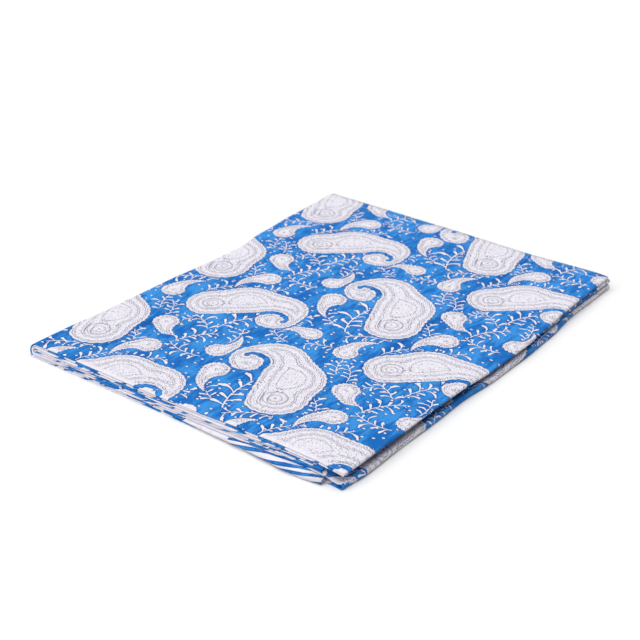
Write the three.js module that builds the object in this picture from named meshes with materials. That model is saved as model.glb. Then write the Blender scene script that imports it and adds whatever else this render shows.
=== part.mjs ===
// A printed cotton tablecloth, folded flat: four plies across and eight layers along.
// Millimetres, +Z up. +X runs along the long side of the pack, its open front faces -Y.
// The four plies of the folded strip are one sheet here. Its eight layers go back and forth
// in Y, and that section is swept along X, so the whole cloth is one solid.
import * as THREE from "three";

// The cloth as it is cut, and how it is folded.
const clothWidth = 1520;
const clothLength = 2280;
const pliesAcross = 4;
const layers = 8;
const packLength = clothWidth / pliesAcross;
const packDepth = clothLength / layers;
const layerGap = 0.3;

// The eight panels of the strip, from its first hem to its last. level counts from the
// bottom of the pack, and front names the fold or hem in which the panel ends at -Y.
// The first panel runs towards the back, the next one towards the front, and so on.
const panels = [
  { level: 2, front: "hem" },
  { level: 7, front: "top" },
  { level: 8, front: "top" },
  { level: 1, front: "lower" },
  { level: 4, front: "lower" },
  { level: 5, front: "middle" },
  { level: 6, front: "middle" },
  { level: 3, front: "hem" },
];

// Plan of the folds, by X. lower, middle, top and hem are how far each front fold or hem
// stands ahead of the pack's front line, and back how far the closed back folds fall short
// of its back line. lift opens the layers above the lower fold, droop lets the top fold hang.
const planRows = [
  { x: -190, lower: 1.5, middle: -15, top: 1.0, hem: -13, back: 0, lift: 0.5, droop: 0 },
  { x: -165, lower: 4.0, middle: -17, top: 1.9, hem: -14, back: 0.4, lift: 1.4, droop: 0 },
  { x: -110, lower: 4.3, middle: -19, top: 2.0, hem: -16, back: 3.5, lift: 1.6, droop: 0 },
  { x: -50, lower: 4.7, middle: -16, top: 2.7, hem: -18, back: 4.6, lift: 0.9, droop: 0 },
  { x: 0, lower: 6.9, middle: -10, top: 4.7, hem: -20, back: 7.6, lift: 0.1, droop: 0.5 },
  { x: 40, lower: 7.5, middle: -2, top: 5.0, hem: -19, back: 8.6, lift: 0.1, droop: 0.3 },
  { x: 80, lower: 5.9, middle: 2.2, top: 3.5, hem: -18, back: 3.6, lift: 0.8, droop: 0 },
  { x: 130, lower: 3.1, middle: 1.6, top: 1.8, hem: -17, back: 0.6, lift: 1.3, droop: 0 },
  { x: 190, lower: 2.5, middle: 1.8, top: 1.1, hem: -16, back: -1.6, lift: 1.2, droop: 0 },
];

// Height of the pack without puff and lift, by Y, on its left edge, middle and right edge.
const heightRows = [
  { y: -142, left: 10.6, middle: 11.0, right: 11.0 },
  { y: -60, left: 11.5, middle: 11.8, right: 11.3 },
  { y: 60, left: 11.2, middle: 11.6, right: 11.1 },
  { y: 142, left: 10.7, middle: 10.5, right: 10.7 },
];

// The left side, where each layer ends in its own fold, by Y. The fold of the first panel,
// near its hem, stays round: puff is its extra height, out how far it stands out, and dip how
// far it hangs past the lowest layer, which falls back by under there.
const puffedLevel = 2;
const sideRows = [
  { y: -147, puff: 0.8, out: 0, dip: 0, under: 1.0 },
  { y: -136, puff: 2.2, out: 1.6, dip: 0.6, under: 1.8 },
  { y: -122, puff: 3.2, out: 5.2, dip: 1.2, under: 2.4 },
  { y: -95, puff: 3.3, out: 5.8, dip: 0.6, under: 2.0 },
  { y: -60, puff: 2.4, out: 3.6, dip: 0, under: 0 },
  { y: -15, puff: 0.8, out: 1.2, dip: 0, under: 0 },
  { y: 35, puff: 0, out: 0, dip: 0, under: 0 },
];
const puffWidth = 38;
const puffFade = 120;
const dipWidth = 5;

// How far each layer's fold stands out past the left end and the right end, by its level.
const edgeRows = [
  { level: 1, left: 2.6, right: 0.8 },
  { level: 2, left: 2.2, right: 1.2 },
  { level: 3, left: 2.4, right: 0.6 },
  { level: 4, left: 1.6, right: 1.0 },
  { level: 5, left: 1.2, right: 0.3 },
  { level: 6, left: 1.3, right: 0.5 },
  { level: 7, left: 0.5, right: -0.6 },
  { level: 8, left: 0.1, right: -0.9 },
];
const edgeFade = 60;
const edgeRound = 1.0;
const edgeBlunt = 0.3;

// Steps of the sweep from each end, close together where the fold edges are round.
const endSteps = [0, 0.3, 1, 5, 14, 30];
const middleSteps = 9;
// Where every layer has a bend across its run, and where those of the long front folds have more.
const runBends = [-116, -95, -60, -15, 35, 90];
const frontBends = [-136, -125];
const foldSteps = 6;
const smallFoldSteps = 4;
const smallFold = 1.2;
const liftReach = 75;

const clothBlue = 0x1f76cf;

const ease = (t) => THREE.MathUtils.smoothstep(t, 0, 1);

// The value of one column at a place, eased from row to row.
function tableValue(rows, key, at, column) {
  const next = rows.findIndex((row) => row[key] > at);
  if (next === 0) return rows[0][column];
  if (next < 0) return rows[rows.length - 1][column];
  const before = rows[next - 1];
  const share = (at - before[key]) / (rows[next][key] - before[key]);
  return THREE.MathUtils.lerp(before[column], rows[next][column], ease(share));
}

// Height from one layer to the next at a place.
function layerPitch(x, y) {
  const middle = tableValue(heightRows, "y", y, "middle");
  const side = tableValue(heightRows, "y", y, x < 0 ? "left" : "right");
  const share = ease(Math.abs(x) / (packLength / 2));
  return THREE.MathUtils.lerp(middle, side, share) / layers;
}

// 1 at that end of the pack, easing to 0 at that reach from it.
const fromLeft = (x, reach) => 1 - ease((x + packLength / 2) / reach);
const fromRight = (x, reach) => 1 - ease((packLength / 2 - x) / reach);

// The extra height of the puffed fold, and of the layers that it lifts.
const puffAt = (x, y, reach) => tableValue(sideRows, "y", y, "puff") * fromLeft(x, reach);

function sheetThickness(level, x, y) {
  const extra = level === puffedLevel ? puffAt(x, y, puffWidth) : 0;
  return layerPitch(x, y) - layerGap + extra;
}

// How far the layers above the lower fold are lifted, or the top fold droops, at the front.
function frontOpening(level, x, y) {
  const ahead = -packDepth / 2 - tableValue(planRows, "x", x, "top");
  const middleFront = -packDepth / 2 - tableValue(planRows, "x", x, "middle");
  const near = 1 - ease((y - ahead) / liftReach);
  const share = level < 5 ? 0 : Math.min(1, (level - 4) / 3);
  const lifted = tableValue(planRows, "x", x, "lift") * near * share;
  if (level < 7 || y > middleFront) return lifted;
  const hanging = ease((middleFront - y) / Math.max(1, middleFront - ahead));
  return lifted - tableValue(planRows, "x", x, "droop") * hanging;
}

// Middle height of a layer at a place. The lowest one lies flat on its underside.
function layerHeight(level, x, y) {
  const pitch = layerPitch(x, y);
  const flat = (level - 1) * pitch + (pitch - layerGap) / 2;
  if (level < puffedLevel) return flat;
  if (level === puffedLevel) return flat + puffAt(x, y, puffWidth) / 2;
  return flat + puffAt(x, y, puffFade) + frontOpening(level, x, y);
}

// How far a point of a layer moves along X, because no two layers end in line.
function endShift(level, x, y) {
  const edge = edgeRows.find((row) => row.level === level);
  let left = edge.left;
  if (level === puffedLevel) left += tableValue(sideRows, "y", y, "out");
  if (level < puffedLevel) left -= tableValue(sideRows, "y", y, "under");
  return edge.right * fromRight(x, edgeFade) - left * fromLeft(x, edgeFade);
}

// Thickness share near the two ends, where each layer is rounded off.
function endRounding(x) {
  const inset = Math.min(packLength / 2 - Math.abs(x), edgeRound) / edgeRound;
  return Math.max(edgeBlunt, Math.sqrt(1 - (1 - inset) ** 2));
}

// Where a panel's straight run starts and ends in Y: the centres of its two folds.
function panelEnds(panel, x) {
  const frontLine = -packDepth / 2 - tableValue(planRows, "x", x, panel.front);
  const backLine = packDepth / 2 - tableValue(planRows, "x", x, "back");
  const backRadius = (layerPitch(x, backLine) * layers) / 2;
  const back = backLine - backRadius;
  if (panel.front === "hem") return { front: frontLine, back };
  const pair = panels.filter((other) => other.front === panel.front);
  const heights = pair.map((other) => layerHeight(other.level, x, frontLine));
  const foldHeight = Math.abs(heights[0] - heights[1]);
  const foldThickness = sheetThickness(panel.level, x, frontLine);
  return { front: frontLine + (foldHeight + foldThickness) / 2, back };
}

// Place, thickness and end shift of a layer's middle at one station and one Y.
function layerAt(level, x, y) {
  const shiftedX = x + endShift(level, x, y);
  const dip = tableValue(sideRows, "y", y, "dip") * fromLeft(x, dipWidth);
  return {
    x: shiftedX,
    z: layerHeight(level, shiftedX, y) - (level === puffedLevel ? dip : 0),
    thickness: sheetThickness(level, shiftedX, y) * endRounding(x),
  };
}

// The two skins of the sheet at one point, along the normal of its middle.
function skinPair(x, y, z, normalY, normalZ, thickness, towardsBack) {
  const half = thickness / 2;
  return {
    towardsBack,
    sideA: new THREE.Vector3(x, y + normalY * half, z + normalZ * half),
    sideB: new THREE.Vector3(x, y - normalY * half, z - normalZ * half),
  };
}

// The straight run of one panel, in the direction in which the sheet goes.
function panelRun(panel, x, towardsBack) {
  const ends = panelEnds(panel, x);
  const reachesFront = panel.front === "top" || panel.front === "lower";
  const bends = reachesFront ? [...frontBends, ...runBends] : runBends;
  const places = [ends.front, ...bends, ends.back];
  if (!towardsBack) places.reverse();
  return places.map((y) => {
    const { x: shiftedX, z, thickness } = layerAt(panel.level, x, y);
    return skinPair(shiftedX, y, z, 0, towardsBack ? 1 : -1, thickness, towardsBack);
  });
}

// The half-round fold from one panel to the next, without its two end points.
function foldArc(panel, next, x, atBack) {
  const y = atBack ? panelEnds(panel, x).back : panelEnds(panel, x).front;
  const start = layerAt(panel.level, x, y);
  const end = layerAt(next.level, x, y);
  const radius = Math.abs(end.z - start.z) / 2;
  const goesUp = end.z > start.z;
  const side = atBack ? 1 : -1;
  const facing = goesUp === atBack ? -1 : 1;
  const steps = radius < smallFold ? smallFoldSteps : foldSteps;
  const points = [];
  for (let step = 1; step < steps; step += 1) {
    const share = step / steps;
    const angle = (goesUp ? share - 0.5 : 0.5 - share) * Math.PI;
    const outY = side * Math.cos(angle);
    const outZ = Math.sin(angle);
    points.push(
      skinPair(
        THREE.MathUtils.lerp(start.x, end.x, share),
        y + outY * radius,
        (start.z + end.z) / 2 + outZ * radius,
        outY * facing,
        outZ * facing,
        THREE.MathUtils.lerp(start.thickness, end.thickness, share),
        atBack,
      ),
    );
  }
  return points;
}

// The whole back-and-forth section at one station.
function foldedSection(x) {
  const points = [];
  panels.forEach((panel, index) => {
    const towardsBack = index % 2 === 0;
    points.push(...panelRun(panel, x, towardsBack));
    const next = panels[index + 1];
    if (next) points.push(...foldArc(panel, next, x, towardsBack));
  });
  return points;
}

function sweepStations() {
  const half = packLength / 2;
  const inner = endSteps[endSteps.length - 1];
  const stations = endSteps.map((step) => step - half);
  for (let step = 1; step < middleSteps; step += 1) {
    stations.push(THREE.MathUtils.lerp(inner - half, half - inner, step / middleSteps));
  }
  stations.push(...endSteps.map((step) => half - step).reverse());
  return stations;
}

// The closed skin of the sheet: its two sides, its two hems and its two ends.
function sweptSheet() {
  const sections = sweepStations().map(foldedSection);
  const count = sections[0].length;
  const positions = [];
  sections.forEach((section) => {
    section.forEach((point) => {
      positions.push(...point.sideA.toArray(), ...point.sideB.toArray());
    });
  });
  const sideA = (station, point) => 2 * (station * count + point);
  const sideB = (station, point) => sideA(station, point) + 1;
  const faces = [];
  const quad = (a, b, c, d) => faces.push(a, b, c, a, c, d);
  // Quads of all layers are split along the same diagonal in plan, so that no gap closes.
  const skinQuad = (a, b, c, d, towardsBack) => {
    if (towardsBack) quad(a, b, c, d);
    else quad(b, c, d, a);
  };
  const lastStation = sections.length - 1;
  const lastPoint = count - 1;
  for (let s = 0; s < lastStation; s += 1) {
    for (let p = 0; p < lastPoint; p += 1) {
      const { towardsBack } = sections[s][p];
      const a = [sideA(s, p), sideA(s + 1, p), sideA(s + 1, p + 1), sideA(s, p + 1)];
      const b = [sideB(s, p), sideB(s, p + 1), sideB(s + 1, p + 1), sideB(s + 1, p)];
      skinQuad(...a, towardsBack);
      skinQuad(...b, towardsBack);
    }
    quad(sideA(s, 0), sideB(s, 0), sideB(s + 1, 0), sideA(s + 1, 0));
    quad(
      sideA(s, lastPoint),
      sideA(s + 1, lastPoint),
      sideB(s + 1, lastPoint),
      sideB(s, lastPoint),
    );
  }
  for (let p = 0; p < lastPoint; p += 1) {
    quad(sideA(0, p), sideA(0, p + 1), sideB(0, p + 1), sideB(0, p));
    quad(
      sideA(lastStation, p),
      sideB(lastStation, p),
      sideB(lastStation, p + 1),
      sideA(lastStation, p + 1),
    );
  }
  const geometry = new THREE.BufferGeometry();
  geometry.setAttribute("position", new THREE.Float32BufferAttribute(positions, 3));
  geometry.setIndex(faces);
  geometry.computeVertexNormals();
  return geometry;
}

// The origin is the middle of the underside of the pack's box.
function centredOnBase(geometry) {
  geometry.computeBoundingBox();
  const middle = geometry.boundingBox.getCenter(new THREE.Vector3());
  return geometry.translate(-middle.x, -middle.y, -geometry.boundingBox.min.z);
}

const tablecloth = new THREE.Group();
const foldedCloth = new THREE.Mesh(
  centredOnBase(sweptSheet()),
  new THREE.MeshStandardMaterial({ color: clothBlue, roughness: 0.9, metalness: 0 }),
);
foldedCloth.name = "folded_cloth";
tablecloth.add(foldedCloth);

export default tablecloth;
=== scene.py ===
import bisect
import math

import bpy
from mathutils import Matrix, Vector


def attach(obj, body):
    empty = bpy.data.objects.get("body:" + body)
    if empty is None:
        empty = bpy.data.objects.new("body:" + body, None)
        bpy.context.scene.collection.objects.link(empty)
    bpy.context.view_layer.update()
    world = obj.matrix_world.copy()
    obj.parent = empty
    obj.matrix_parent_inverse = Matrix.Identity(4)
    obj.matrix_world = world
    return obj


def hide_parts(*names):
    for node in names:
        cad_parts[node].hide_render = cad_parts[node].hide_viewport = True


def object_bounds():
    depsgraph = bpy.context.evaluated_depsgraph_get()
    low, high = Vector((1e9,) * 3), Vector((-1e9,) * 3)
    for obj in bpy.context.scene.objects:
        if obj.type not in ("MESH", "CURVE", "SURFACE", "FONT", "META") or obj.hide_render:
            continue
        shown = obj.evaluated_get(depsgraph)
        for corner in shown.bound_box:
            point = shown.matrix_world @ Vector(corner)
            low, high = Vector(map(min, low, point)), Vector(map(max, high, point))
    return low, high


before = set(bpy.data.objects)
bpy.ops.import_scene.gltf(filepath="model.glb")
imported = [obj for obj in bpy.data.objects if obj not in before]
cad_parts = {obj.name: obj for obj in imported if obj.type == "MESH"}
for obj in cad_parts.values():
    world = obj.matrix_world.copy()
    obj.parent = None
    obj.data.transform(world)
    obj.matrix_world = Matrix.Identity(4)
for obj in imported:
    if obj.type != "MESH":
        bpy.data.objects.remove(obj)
cadLow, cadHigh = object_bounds()

# The photo's own view of the pack, in metres and degrees
photoCamera = {
    "azimuth": -54.569,
    "elevation": 27.405,
    "roll": 1.909,
    "distance": 1.1258,
    "lens": 80.94,
    "aim": (-0.0128, 0.0061, 0.005),
    "focus": 1.02,
    "aperture": 16,
    "sensor": 36,
    "nearest": 0.05,
}

print("camera and studio")


def addCamera(view):
    azimuth = math.radians(view["azimuth"])
    elevation = math.radians(view["elevation"])
    roll = math.radians(view["roll"])
    flatOut = math.cos(elevation)
    back = Vector((math.sin(azimuth) * flatOut, -math.cos(azimuth) * flatOut, math.sin(elevation)))
    levelRight = Vector((0, 0, 1)).cross(back).normalized()
    levelUp = back.cross(levelRight)
    right = levelRight * math.cos(roll) + levelUp * math.sin(roll)
    up = levelUp * math.cos(roll) - levelRight * math.sin(roll)
    place = Vector(view["aim"]) + back * view["distance"]
    bpy.ops.object.camera_add()
    camera = bpy.context.object
    camera.name = "photoCamera"
    camera.data.lens = view["lens"]
    camera.data.sensor_width = view["sensor"]
    camera.data.clip_start = view["nearest"]
    camera.data.dof.use_dof = True
    camera.data.dof.focus_distance = view["focus"]
    camera.data.dof.aperture_fstop = view["aperture"]
    camera.matrix_world = Matrix.Translation(place) @ Matrix((right, up, back)).transposed().to_4x4()
    bpy.context.scene.camera = camera


addCamera(photoCamera)

# The cloth as it is cut and folded, in millimetres
clothCut = {
    "width": 1520,
    "length": 2280,
    "packLength": 380,
    "packDepth": 285,
    "layers": 8,
    "layerGap": 0.3,
    "plies": 4,
    "thickness": 0.24,
    "hemThickness": 0.36,
    "hemWidth": 11,
    "slack": 16.5,
    "packLowX": -198.0,
    "packLowY": -149.65,
}
halfLength = clothCut["packLength"] / 2
halfDepth = clothCut["packDepth"] / 2

# Each panel of the strip by its level in the pack and the fold or hem that ends it in front
panelPlan = [
    (2, "hem"), (7, "top"), (8, "top"), (1, "lower"),
    (4, "lower"), (5, "middle"), (6, "middle"), (3, "hem"),
]

# The front and back folds by their places along x, then the heights by their places along y
foldPlan = {
    "at": [-190, -165, -110, -50, 0, 40, 80, 130, 190],
    "lower": [1.5, 4.0, 4.3, 4.7, 6.9, 7.5, 5.9, 3.1, 2.5],
    "middle": [-15, -17, -19, -16, -10, -2, 2.2, 1.6, 1.8],
    "top": [1.0, 1.9, 2.0, 2.7, 4.7, 5.0, 3.5, 1.8, 1.1],
    "hem": [-13, -14, -16, -18, -20, -19, -18, -17, -16],
    "back": [0, 0.4, 3.5, 4.6, 7.6, 8.6, 3.6, 0.6, -1.6],
    "lift": [0.5, 1.4, 1.6, 0.9, 0.1, 0.1, 0.8, 1.3, 1.2],
    "droop": [0, 0, 0, 0, 0.5, 0.3, 0, 0, 0],
    "sag": [2.0, 2.7, 2.7, 2.6, 2.0, 1.8, 2.0, 2.2, 1.2],
    "sagStart": 1.4,
    "sagReach": 17,
    "sagLean": 0.6,
    "sagRound": 1.5,
}

heightPlan = {
    "at": [-142, -60, 60, 142],
    "left": [10.6, 11.5, 11.2, 10.7],
    "middle": [11.0, 11.8, 11.6, 10.5],
    "right": [11.0, 11.3, 11.1, 10.7],
}

# The left side, where the fold of the first panel stays round near its hem
leftPlan = {
    "at": [-147, -136, -122, -95, -60, -15, 35],
    "puff": [0.8, 2.2, 3.2, 3.3, 2.4, 0.8, 0],
    "out": [0, 1.6, 5.2, 5.8, 3.6, 1.2, 0],
    "dip": [0, 0.6, 1.2, 0.6, 0, 0, 0],
    "under": [1.0, 1.8, 2.4, 2.0, 0, 0, 0],
    "pinch": [2.2, 0.9, 0, 0, 0, 0, 0],
    "pinchWidth": 26,
}

edgePlan = {
    "left": [2.6, 2.2, 2.4, 1.6, 1.2, 1.3, 0.5, 0.1],
    "right": [0.8, 1.2, 0.6, 1.0, 0.3, 0.5, -0.6, -0.9],
    "fade": 60,
    "puffWidth": 38,
    "puffFade": 120,
    "dipWidth": 5,
    "liftReach": 75,
}

# Small unevenness that only the cloth has: of its fold edges, and its listed creases. A side
# wave has the length of the first number, and the second more for each level.
clothWaver = {
    "leftEdge": 0.45,
    "leftWave": (9, 2.3),
    "leftStart": 1.7,
    "topLeftShare": 0.6,
    "rightEdge": 0.3,
    "rightWave": (11, 1),
    "frontEdge": 0.5,
    "frontWaves": (19, 41),
    "frontStarts": {"top": 1.9, "lower": 4.1, "middle": 0.3, "hem": 5.5},
    "frontRest": 30,
    "creases": [
        # from x, y to x, y, height and half width
        (-190, -96, -150, -112, 0.35, 5), (-36, -150, -6, -118, 0.5, 7),
        (30, -150, 52, -124, 0.4, 6), (-60, 142, -20, 90, 0.3, 9), (40, 142, 22, 96, 0.35, 8),
        (120, -148, 150, -118, 0.3, 8), (-186, 40, -140, 26, 0.25, 7), (90, 20, 150, 60, 0.22, 12),
    ],
}

# Soft pillows of the upper layers: three waves by their lengths along x and y
pillowPlan = {
    "height": 0.42,
    "edge": 25,
    "square": (31, 27),
    "slanting": (17, 21),
    "slantingShare": 0.6,
    "crossing": (43, 15),
    "crossingShare": 0.5,
}

# Where the mesh has its rows from front to back, and its columns from left to right. The top
# has two more between rows or columns that are further apart than the first limit, and one more
# between those that are further apart than the second.
fullBends = [
    -140, -138, -136, -133.5, -131, -125, -116, -105, -95, -78, -60, -38, -15, 10, 35, 62, 90, 116,
]
shortBends = fullBends[6:]
plainStations = [
    -186.8, -184, -180, -175, -169, -162, -154, -144, -130, -110, -88, -65, -52.5, -40, -15, -2.5, 10, 35,
    47.5, 60, 72.5, 85, 97.5, 110, 122.5, 135, 155, 170, 180, 186,
]
topRowLimits = (15, 0)
topColumnLimits = (14, 6)
foldSteps = {"close": 6, "wide": 12}

# The single plies: where the cut edges of the first and last one end and how they waver, how
# much looser they lie at the right, and how far in and how round the folds between them are
plyPlan = {
    "firstEnd": 189.2,
    "lastEnd": 189.6,
    "firstInset": 2.0,
    "endWaver": 0.7,
    "endWave": 0.21,
    "looser": 0.14,
    "looserReach": 16,
    "turnSteps": 8,
    "turnCloth": 5,
    "innerReach": 0.35,
    "rightReach": 0.6,
    "leftReach": 0.75,
    "puffedReach": 0.5,
    "innerInset": 1.5,
    "innerWaver": 0.5,
    "innerWave": 0.17,
    "squareness": 0.6,
}


def eased(share):
    share = min(1.0, max(0.0, share))
    return share * share * (3 - 2 * share)


def mixed(a, b, share):
    return a + (b - a) * share


# The stations with more between them where they are further apart than the two limits
def refined(stations, limits):
    return sorted(stations + [
        mixed(a, b, share)
        for a, b in zip(stations, stations[1:])
        for share in ([1 / 3, 2 / 3] if b - a > limits[0] else [0.5] if b - a > limits[1] else [])
    ])


def planValue(plan, at, column):
    places = plan["at"]
    values = plan[column]
    after = bisect.bisect_right(places, at)
    if after == 0:
        return values[0]
    if after == len(places):
        return values[-1]
    share = (at - places[after - 1]) / (places[after] - places[after - 1])
    return mixed(values[after - 1], values[after], eased(share))


def fromLeft(x, reach):
    return 1 - eased((x + halfLength) / reach)


def fromRight(x, reach):
    return 1 - eased((halfLength - x) / reach)


def layerPitch(x, y):
    middle = planValue(heightPlan, y, "middle")
    side = planValue(heightPlan, y, "left" if x < 0 else "right")
    return mixed(middle, side, eased(abs(x) / halfLength)) / clothCut["layers"]


def puffAt(x, y, reach):
    return planValue(leftPlan, y, "puff") * fromLeft(x, reach)


# The upper layers stand open at the front: from level 5 up they lift, and the top two droop
def frontOpening(level, x, y):
    ahead = -halfDepth - planValue(foldPlan, x, "top")
    middleFront = -halfDepth - planValue(foldPlan, x, "middle")
    near = 1 - eased((y - ahead) / edgePlan["liftReach"])
    share = 0 if level < 5 else min(1, (level - 4) / 3)
    lifted = planValue(foldPlan, x, "lift") * near * share
    if level < 7 or y > middleFront:
        return lifted
    hanging = eased((middleFront - y) / max(1, middleFront - ahead))
    return lifted - planValue(foldPlan, x, "droop") * hanging


def pillow(x, y):
    plan = pillowPlan
    squareX, squareY = plan["square"]
    slantingX, slantingY = plan["slanting"]
    crossingX, crossingY = plan["crossing"]
    wave = math.sin(x / squareX + 0.8) * math.sin(y / squareY - 0.6)
    wave += plan["slantingShare"] * math.sin(x / slantingX - y / slantingY + 2.0)
    wave += plan["crossingShare"] * math.sin(x / crossingX + y / crossingY)
    most = 1 + plan["slantingShare"] + plan["crossingShare"]
    restX = (halfLength - abs(x)) / plan["edge"]
    restY = (halfDepth - abs(y)) / plan["edge"]
    return plan["height"] * wave / most * eased(min(1, restX, restY))


# Creases as low ridges
def creaseHeight(x, y):
    height = 0
    for startX, startY, endX, endY, rise, width in clothWaver["creases"]:
        runX = endX - startX
        runY = endY - startY
        share = ((x - startX) * runX + (y - startY) * runY) / (runX * runX + runY * runY)
        away = math.hypot(x - startX - runX * share, y - startY - runY * share)
        along = max(0, 1 - abs(share * 2 - 1) ** 3) if 0 < share < 1 else 0
        height += rise * math.exp(-(away / width) ** 2) * along
    return height


# The middle of a layer. Level 2 has the round left edge, and level 4 is pinched at the near
# corner and sags behind the lower front fold.
def layerHeight(level, x, y):
    pitch = layerPitch(x, y)
    flat = (level - 1) * pitch + (pitch - clothCut["layerGap"]) / 2
    if level < 2:
        return flat
    if level == 2:
        return flat + puffAt(x, y, edgePlan["puffWidth"]) / 2
    if level == 4:
        flat -= planValue(leftPlan, y, "pinch") * fromLeft(x, leftPlan["pinchWidth"])
        lowerFront = -halfDepth - planValue(foldPlan, x, "lower")
        behind = (y - lowerFront - foldPlan["sagStart"]) / foldPlan["sagReach"]
        if 0 < behind < 1:
            hollow = math.sin(math.pi * behind ** foldPlan["sagLean"]) ** foldPlan["sagRound"]
            flat -= planValue(foldPlan, x, "sag") * hollow
    flat += puffAt(x, y, edgePlan["puffFade"]) + frontOpening(level, x, y)
    return flat + pillow(x, y) * (level / clothCut["layers"]) ** 2


def layerThickness(level, x, y):
    puffed = puffAt(x, y, edgePlan["puffWidth"]) if level == 2 else 0
    return layerPitch(x, y) - clothCut["layerGap"] + puffed


def endShift(level, x, y):
    length, longer = clothWaver["leftWave"]
    wave = math.sin(y / (length + longer * level) + level * clothWaver["leftStart"])
    share = clothWaver["topLeftShare"] if level == clothCut["layers"] else 1
    left = edgePlan["left"][level - 1] + clothWaver["leftEdge"] * wave * share
    if level == 2:
        left += planValue(leftPlan, y, "out")
    if level < 2:
        left -= planValue(leftPlan, y, "under")
    length, longer = clothWaver["rightWave"]
    wave = math.sin(y / (length + longer * level) + level)
    right = edgePlan["right"][level - 1] + clothWaver["rightEdge"] * wave
    return right * fromRight(x, edgePlan["fade"]) - left * fromLeft(x, edgePlan["fade"])


def frontLine(front, x):
    start = clothWaver["frontStarts"][front]
    short, long = clothWaver["frontWaves"]
    rest = eased((halfLength - abs(x)) / clothWaver["frontRest"])
    ahead = planValue(foldPlan, x, front)
    ahead += clothWaver["frontEdge"] * math.sin(x / short + start) * math.cos(x / long + start) * rest
    return -halfDepth - ahead


# The centres of the two folds between which a panel runs straight
def panelEnds(panel, x):
    level, front = panelPlan[panel]
    frontY = frontLine(front, x)
    backY = halfDepth - planValue(foldPlan, x, "back")
    back = backY - layerPitch(x, backY) * clothCut["layers"] / 2
    if front == "hem":
        return frontY, back
    heights = [layerHeight(other, x, frontY) for other, name in panelPlan if name == front]
    foldHeight = abs(heights[0] - heights[1])
    return frontY + (foldHeight + layerThickness(level, x, frontY)) / 2, back


# The place of each ply in the strip, counted from the bottom, where the third of the cloth lies
plyOrder = {1: 2, 2: 1, 3: 0, 4: 3}


def plyHeight(ply, thickness, plainThickness, spread):
    highest = clothCut["plies"] - 1
    outer = (thickness - clothCut["thickness"]) / 2 * spread
    pitch = (plainThickness - clothCut["thickness"]) / highest * spread
    place = plyOrder[ply]
    return outer if place == highest else -outer + place * pitch


# Where each column of the flat cloth goes across the strip
def clothColumns():
    quarter = clothCut["packLength"]
    columns = []

    def straight(ply, stations):
        for x in stations:
            cloth = (ply - 1) * quarter + (halfLength - x if ply % 2 else x + halfLength)
            columns.append({"cloth": cloth, "ply": ply, "x": x})

    def turn(ply, side):
        for step in range(1, plyPlan["turnSteps"]):
            share = step / plyPlan["turnSteps"] - 0.5
            columns.append({
                "cloth": ply * quarter + share * plyPlan["turnCloth"],
                "ply": ply,
                "turn": share * math.pi,
                "side": side,
            })

    backwards = plainStations[::-1]
    straight(1, [plyPlan["firstEnd"]] + backwards)
    columns[0]["cloth"] = 0
    turn(1, "inner")
    straight(2, plainStations)
    turn(2, "right")
    straight(3, backwards)
    turn(3, "left")
    straight(4, refined(plainStations, topColumnLimits) + [plyPlan["lastEnd"]])
    columns[-1]["cloth"] = clothCut["width"]
    return columns


# Where each row of the flat cloth goes along the strip
def clothRows():
    rows = []
    for panel, (level, front) in enumerate(panelPlan):
        bends = fullBends if front in ("top", "lower") else shortBends
        if level == clothCut["layers"]:
            bends = refined(bends, topRowLimits)
        places = ["front"] + bends + ["back"]
        if panel % 2:
            places.reverse()
        rows += [{"panel": panel, "y": place} for place in places]
        if panel + 1 < len(panelPlan):
            steps = foldSteps["close" if abs(panelPlan[panel + 1][0] - level) == 1 else "wide"]
            rows += [{"panel": panel, "share": step / steps} for step in range(1, steps)]
    return rows


def stripPoint(panel, x, y):
    level = panelPlan[panel][0]
    shifted = x + endShift(level, x, y)
    dip = planValue(leftPlan, y, "dip") * fromLeft(x, edgePlan["dipWidth"]) if level == 2 else 0
    return shifted, layerHeight(level, shifted, y) - dip


# The x of a column before its layer is shifted, and its height in the strip
def acrossStrip(column, thickness, plainThickness, rowNumber):
    plan = plyPlan
    ply = column["ply"]
    if "x" in column:
        x = column["x"]
        if x > plainStations[-1]:
            x += plan["endWaver"] * math.sin(rowNumber * plan["endWave"] + ply * 2)
            x -= plan["firstInset"] if ply == 1 else 0
        spread = 1 + plan["looser"] * fromRight(x, plan["looserReach"])
        return x, plyHeight(ply, thickness, plainThickness, spread)
    side = column["side"]
    spread = 1 + plan["looser"] if side == "right" else 1
    first = plyHeight(ply, thickness, plainThickness, spread)
    last = plyHeight(ply + 1, thickness, plainThickness, spread)
    height = (first + last) / 2 + (last - first) / 2 * math.sin(column["turn"])
    reach = plan[side + "Reach"]
    if side == "left":
        reach += plan["puffedReach"] * (thickness - plainThickness)
    x = halfLength - reach * (1 - math.cos(column["turn"]) ** plan["squareness"])
    if side == "inner":
        x -= plan["innerInset"] + plan["innerWaver"] * math.sin(rowNumber * plan["innerWave"])
    return (x if side == "right" else -x), height


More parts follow.
